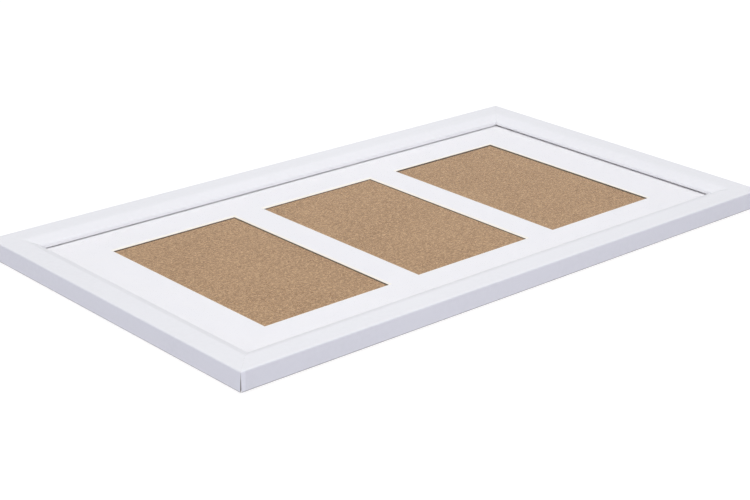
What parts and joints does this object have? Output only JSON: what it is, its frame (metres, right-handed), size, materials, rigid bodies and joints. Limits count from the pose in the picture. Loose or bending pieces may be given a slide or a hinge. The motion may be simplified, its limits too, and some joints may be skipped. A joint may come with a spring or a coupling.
{
  "type": "collage photo frame",
  "caption": "Slim white photo frame with mitred rails, clear glazing, a bevel-cut mat with a row of windows, a fibreboard back held by turn buttons, and sawtooth hangers.",
  "frame": {"origin": "middle of the lowest side of the box round the whole frame, on the surface that it lies on", "axes": "+X along the long rails, +Y up the frame as it hangs in landscape, +Z out of its face"},
  "size_m": [0.4226, 0.2354, 0.0147],
  "materials": {
    "moulding": "fibreboard moulding wrapped in satin white foil, bare at the back and in the rabbet",
    "clear_acrylic": "clear polished acrylic sheet",
    "mat": "matt white mat board with a white core at the bevels",
    "fibreboard": "bare brown fibreboard, fine felted grain",
    "button_steel": "zinc plated stamped steel",
    "screw_steel": "zinc plated steel",
    "hanger_steel": "zinc plated stamped steel strip",
    "nail_steel": "bright steel"
  },
  "bodies": {
    "frame": {"bottom_rail": "moulding", "right_rail": "moulding", "top_rail": "moulding", "left_rail": "moulding", "corner_v_nails": "nail_steel", "glazing": "clear_acrylic", "mat_board": "mat", "backing_board": "fibreboard", "turn_button_screws": "screw_steel", "landscape_hanger": "hanger_steel", "portrait_hanger": "hanger_steel", "hanger_nails": "nail_steel"},
    "turn_button_bottom_left": {"turn_button_bottom_left": "button_steel"},
    "turn_button_bottom_right": {"turn_button_bottom_right": "button_steel"},
    "turn_button_top_left": {"turn_button_top_left": "button_steel"},
    "turn_button_top_right": {"turn_button_top_right": "button_steel"},
    "turn_button_left_upper": {"turn_button_left_upper": "button_steel"},
    "turn_button_left_lower": {"turn_button_left_lower": "button_steel"},
    "turn_button_right_upper": {"turn_button_right_upper": "button_steel"},
    "turn_button_right_lower": {"turn_button_right_lower": "button_steel"}
  },
  "joints": [
    {"name": "turn_button_bottom_left_swivel", "type": "hinge", "parent": "frame", "child": "turn_button_bottom_left", "pos_m": [-0.095, -0.10665, 0.00215], "axis": [0, 0, 1], "continuous": true},
    {"name": "turn_button_bottom_right_swivel", "type": "hinge", "parent": "frame", "child": "turn_button_bottom_right", "pos_m": [0.095, -0.10665, 0.00215], "axis": [0, 0, 1], "continuous": true},
    {"name": "turn_button_top_left_swivel", "type": "hinge", "parent": "frame", "child": "turn_button_top_left", "pos_m": [-0.095, 0.10665, 0.00215], "axis": [0, 0, 1], "continuous": true},
    {"name": "turn_button_top_right_swivel", "type": "hinge", "parent": "frame", "child": "turn_button_top_right", "pos_m": [0.095, 0.10665, 0.00215], "axis": [0, 0, 1], "continuous": true},
    {"name": "turn_button_left_upper_swivel", "type": "hinge", "parent": "frame", "child": "turn_button_left_upper", "pos_m": [-0.20025, 0.045, 0.00215], "axis": [0, 0, 1], "continuous": true},
    {"name": "turn_button_left_lower_swivel", "type": "hinge", "parent": "frame", "child": "turn_button_left_lower", "pos_m": [-0.20025, -0.045, 0.00215], "axis": [0, 0, 1], "continuous": true},
    {"name": "turn_button_right_upper_swivel", "type": "hinge", "parent": "frame", "child": "turn_button_right_upper", "pos_m": [0.20025, 0.045, 0.00215], "axis": [0, 0, 1], "continuous": true},
    {"name": "turn_button_right_lower_swivel", "type": "hinge", "parent": "frame", "child": "turn_button_right_lower", "pos_m": [0.20025, -0.045, 0.00215], "axis": [0, 0, 1], "continuous": true}
  ]
}
